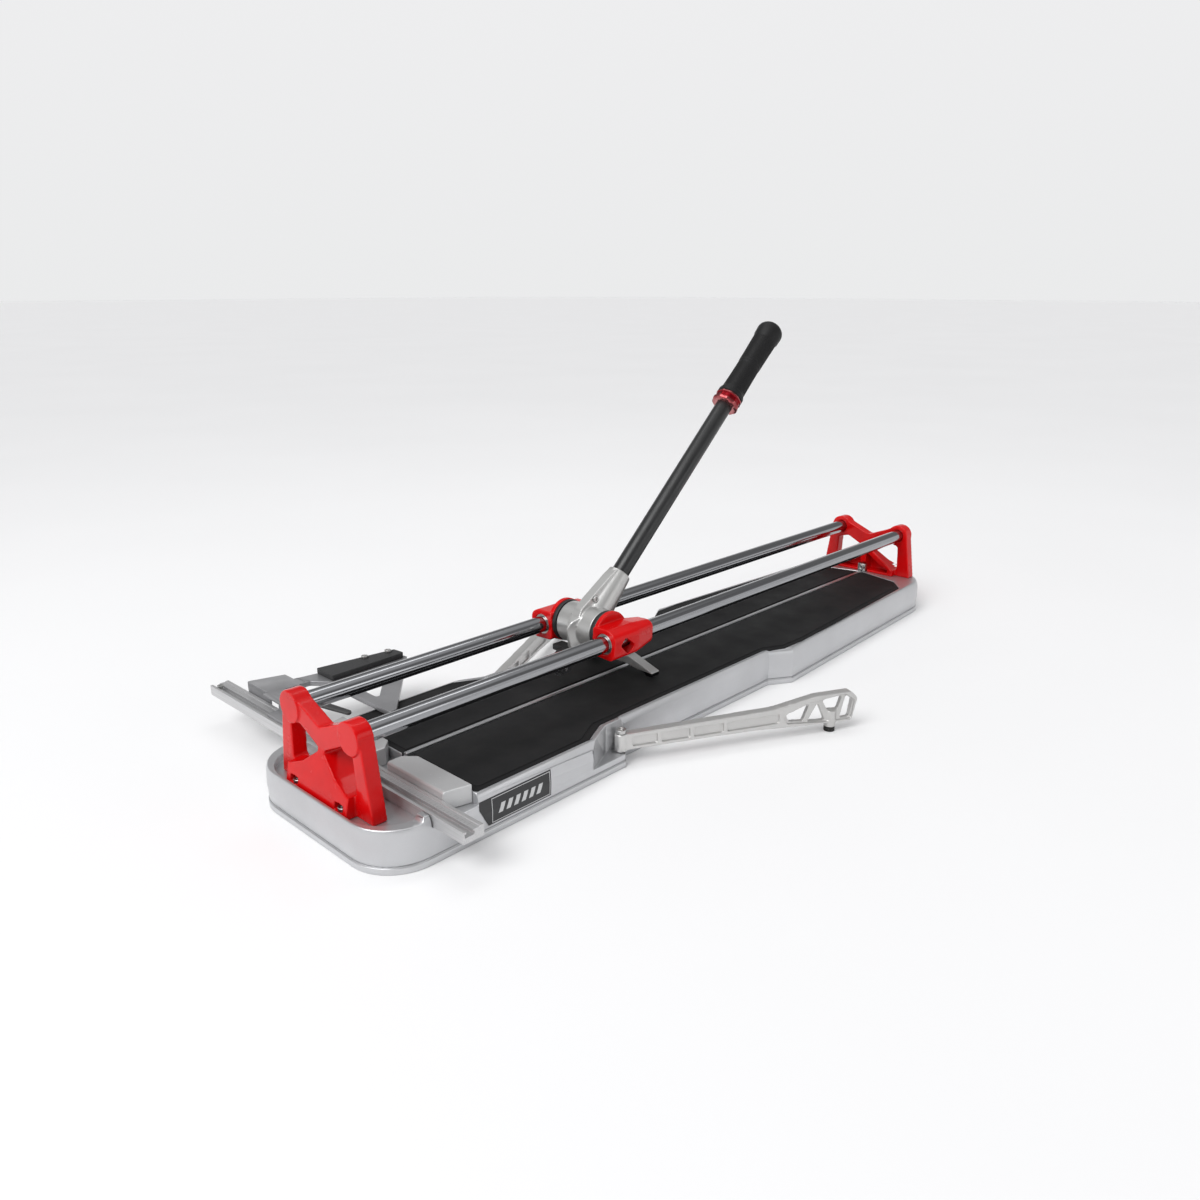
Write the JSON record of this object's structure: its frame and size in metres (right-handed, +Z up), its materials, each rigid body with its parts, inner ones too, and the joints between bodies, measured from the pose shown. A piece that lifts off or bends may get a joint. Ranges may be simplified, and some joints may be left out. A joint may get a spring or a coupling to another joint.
{
  "type": "tile cutter",
  "caption": "Manual tile cutter: twin guide rails over a padded cast base, sliding carriage with a long tilting handle, scoring wheel, breaker foot, lateral stop and folding side arms.",
  "frame": {"origin": "on the ground plane under the base, on the centre line of the breaking strip, about half way along the rails", "axes": "+X along the rails away from the fence end, +Y across towards the long end of the ruler bar, +Z up"},
  "size_m": [1.098, 0.5751, 0.4671],
  "materials": {
    "cast_grey": "satin cast, clear coated",
    "fence_grey": "satin cast",
    "cast_bright": "as cast, lightly blasted",
    "hub_grey": "as cast, satin",
    "pad_rubber": "matt ribbed rubber",
    "strip_steel": "ground",
    "red_paint": "gloss powder coat",
    "rail_chrome": "ground and polished",
    "screw_zinc": "zinc plated",
    "bearing_ring": "satin",
    "shaft_steel": "ground",
    "black_nylon": "matt moulded",
    "tube_black": "satin black",
    "collar_red": "red anodised",
    "grip_rubber": "ribbed",
    "bar_aluminium": "extruded, anodised",
    "stop_grey": "satin grey",
    "stop_rubber": "matt",
    "lever_grey": "satin, grey top edge",
    "foot_rubber": "matt",
    "label_black": "blank label film"
  },
  "bodies": {
    "base": {"base_casting": "cast_grey", "pad_right": "pad_rubber", "pad_left": "pad_rubber", "breaking_strip": "strip_steel", "strip_anchor": "screw_zinc", "strip_anchor_screw": "screw_zinc", "near_support": "red_paint", "far_support": "red_paint", "rail_right": "rail_chrome", "rail_left": "rail_chrome", "support_screws": "screw_zinc", "ruler_bar": "bar_aluminium", "fence_right": "fence_grey", "fence_left": "fence_grey", "fence_screws": "screw_zinc", "bar_end_screw": "screw_zinc", "arm_bolts": "screw_zinc", "label_plate": "label_black"},
    "carriage": {"slider_right": "red_paint", "slider_left": "red_paint", "bushings_right": "bearing_ring", "bushings_left": "bearing_ring", "pivot_shaft": "shaft_steel", "side_disc_right": "black_nylon", "side_disc_left": "black_nylon"},
    "handle": {"hub": "hub_grey", "handle_tube": "tube_black", "handle_collar": "collar_red", "grip": "grip_rubber", "socket_screw": "screw_zinc", "wheel_holder": "black_nylon", "wheel_axle": "shaft_steel", "foot_pin": "shaft_steel"},
    "wheel": {"scoring_wheel": "shaft_steel"},
    "breaker": {"breaker_foot": "hub_grey"},
    "arm_right": {"side_arm_right": "cast_bright", "arm_foot_right": "foot_rubber"},
    "arm_left": {"side_arm_left": "cast_bright", "arm_foot_left": "foot_rubber"},
    "stop": {"stop_saddle": "stop_grey", "stop_square": "stop_grey", "stop_strip": "stop_rubber", "stop_pegs": "screw_zinc", "lever_screw": "screw_zinc"},
    "lever": {"locking_lever": "lever_grey"}
  },
  "joints": [
    {"name": "carriage_slide", "type": "slide", "parent": "base", "child": "carriage", "axis": [1, 0, 0], "range_m": [-0.265, 0.58]},
    {"name": "handle_tilt", "type": "hinge", "parent": "carriage", "child": "handle", "pos_m": [-0.174, 0, 0.122], "axis": [0, -1, 0], "range_deg": [0, 26]},
    {"name": "wheel_spin", "type": "hinge", "parent": "handle", "child": "wheel", "pos_m": [-0.22, 0, 0.082], "axis": [0, 1, 0], "continuous": true},
    {"name": "foot_pivot", "type": "hinge", "parent": "handle", "child": "breaker", "pos_m": [-0.111, 0, 0.08], "axis": [0, 1, 0], "range_deg": [-8, 8]},
    {"name": "arm_right_fold", "type": "hinge", "parent": "base", "child": "arm_right", "pos_m": [-0.234, -0.111, 0.03], "axis": [0, 0, 1], "range_deg": [-60, 27]},
    {"name": "arm_left_fold", "type": "hinge", "parent": "base", "child": "arm_left", "pos_m": [-0.234, 0.111, 0.03], "axis": [0, 0, -1], "range_deg": [-60, 27]},
    {"name": "stop_slide", "type": "slide", "parent": "base", "child": "stop", "axis": [0, 1, 0], "range_m": [-0.024, 0.036]},
    {"name": "lever_turn", "type": "hinge", "parent": "stop", "child": "lever", "pos_m": [-0.464, 0.17, 0.064], "axis": [0, 0, 1], "range_deg": [0, 60]}
  ]
}
